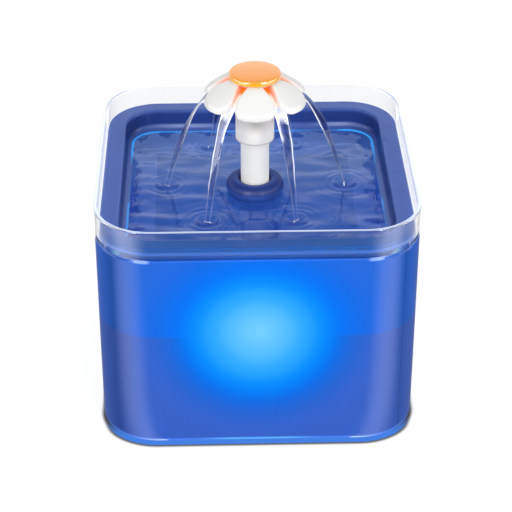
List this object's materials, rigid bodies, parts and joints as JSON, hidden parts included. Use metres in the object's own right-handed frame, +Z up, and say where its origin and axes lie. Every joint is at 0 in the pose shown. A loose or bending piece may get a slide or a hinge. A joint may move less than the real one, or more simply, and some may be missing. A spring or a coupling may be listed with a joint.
{
  "type": "pet water fountain",
  "caption": "Square lit pet water fountain: blue tank, clear splash collar, blue drinking tray, filter basket, submersible pump and a flower spout with white petals and an orange cap.",
  "frame": {"origin": "middle of the footprint, on the surface that the feet stand on", "axes": "+Z up through the riser, -Y towards the front, +X to the right seen from the front"},
  "size_m": [0.17, 0.17, 0.1814],
  "materials": {
    "tank_plastic": "glossy translucent blue, lit from inside",
    "blue_rubber": "matt",
    "clear_plastic": "clear, polished",
    "tray_plastic": "satin blue",
    "white_plastic": "satin white",
    "petal_plastic": "satin white",
    "orange_plastic": "glossy orange",
    "filter_fleece": "felted fleece",
    "carbon": "grainy",
    "resin": "beads",
    "seal_rubber": "matt",
    "cup_rubber": "translucent grey",
    "pump_plastic": "satin",
    "lens_plastic": "clear",
    "led_package": "clear dome on white",
    "circuit_board": "solder mask",
    "stator_steel": "stamped laminations",
    "copper_wire": "lacquered copper windings",
    "ferrite": "sintered",
    "shaft_steel": "ground",
    "sponge": "open cell foam"
  },
  "bodies": {
    "tank": {"tank": "tank_plastic", "anti_slip_feet": "blue_rubber", "cable_grommet": "blue_rubber", "pump_housing": "pump_plastic", "motor_end_cover": "pump_plastic", "led_lens": "lens_plastic", "leds": "led_package", "driver_board": "circuit_board", "stator_core": "stator_steel", "stator_coils": "copper_wire", "rotor_shaft": "shaft_steel", "shaft_bushes": "seal_rubber", "volute_cover": "pump_plastic", "outlet_nozzle": "white_plastic", "nozzle_seal": "seal_rubber", "suction_cups": "cup_rubber", "pump_cable_seal": "seal_rubber"},
    "collar": {"splash_collar": "clear_plastic"},
    "tray": {"drinking_tray": "tray_plastic"},
    "filter": {"filter_basket": "white_plastic", "filter_lid": "white_plastic", "upper_filter_pad": "filter_fleece", "carbon_bed": "carbon", "resin_bed": "resin", "lower_filter_pad": "filter_fleece"},
    "riser": {"riser_tube": "white_plastic", "riser_seal": "seal_rubber"},
    "flower": {"flower_sleeve": "white_plastic", "flower_hub": "orange_plastic", "flower_petals": "petal_plastic", "flower_cap": "orange_plastic"},
    "rotor": {"impeller": "white_plastic", "rotor_magnet": "ferrite"},
    "strainer": {"strainer_cover": "pump_plastic", "inlet_sponge": "sponge"},
    "flow_shutter": {"flow_slider": "white_plastic"}
  },
  "joints": [
    {"name": "collar_lift", "type": "slide", "parent": "tank", "child": "collar", "axis": [0, 0, 1], "range_m": [0, 0.07]},
    {"name": "tray_lift", "type": "slide", "parent": "collar", "child": "tray", "axis": [0, 0, 1], "range_m": [0, 0.07]},
    {"name": "filter_drop", "type": "slide", "parent": "tray", "child": "filter", "axis": [0, 0, -1], "range_m": [0, 0.009]},
    {"name": "spout_turn", "type": "hinge", "parent": "tray", "child": "riser", "pos_m": [0, 0, 0.12], "axis": [0, 0, 1], "continuous": true},
    {"name": "flower_lift", "type": "slide", "parent": "riser", "child": "flower", "axis": [0, 0, 1], "range_m": [0, 0.04]},
    {"name": "impeller_spin", "type": "hinge", "parent": "tank", "child": "rotor", "pos_m": [0, 0, 0.026], "axis": [0, 1, 0], "continuous": true},
    {"name": "cover_pull", "type": "slide", "parent": "tank", "child": "strainer", "axis": [0, 1, 0], "range_m": [0, 0.02]},
    {"name": "flow_adjust", "type": "slide", "parent": "strainer", "child": "flow_shutter", "axis": [1, 0, 0], "range_m": [-0.004, 0.004]}
  ]
}
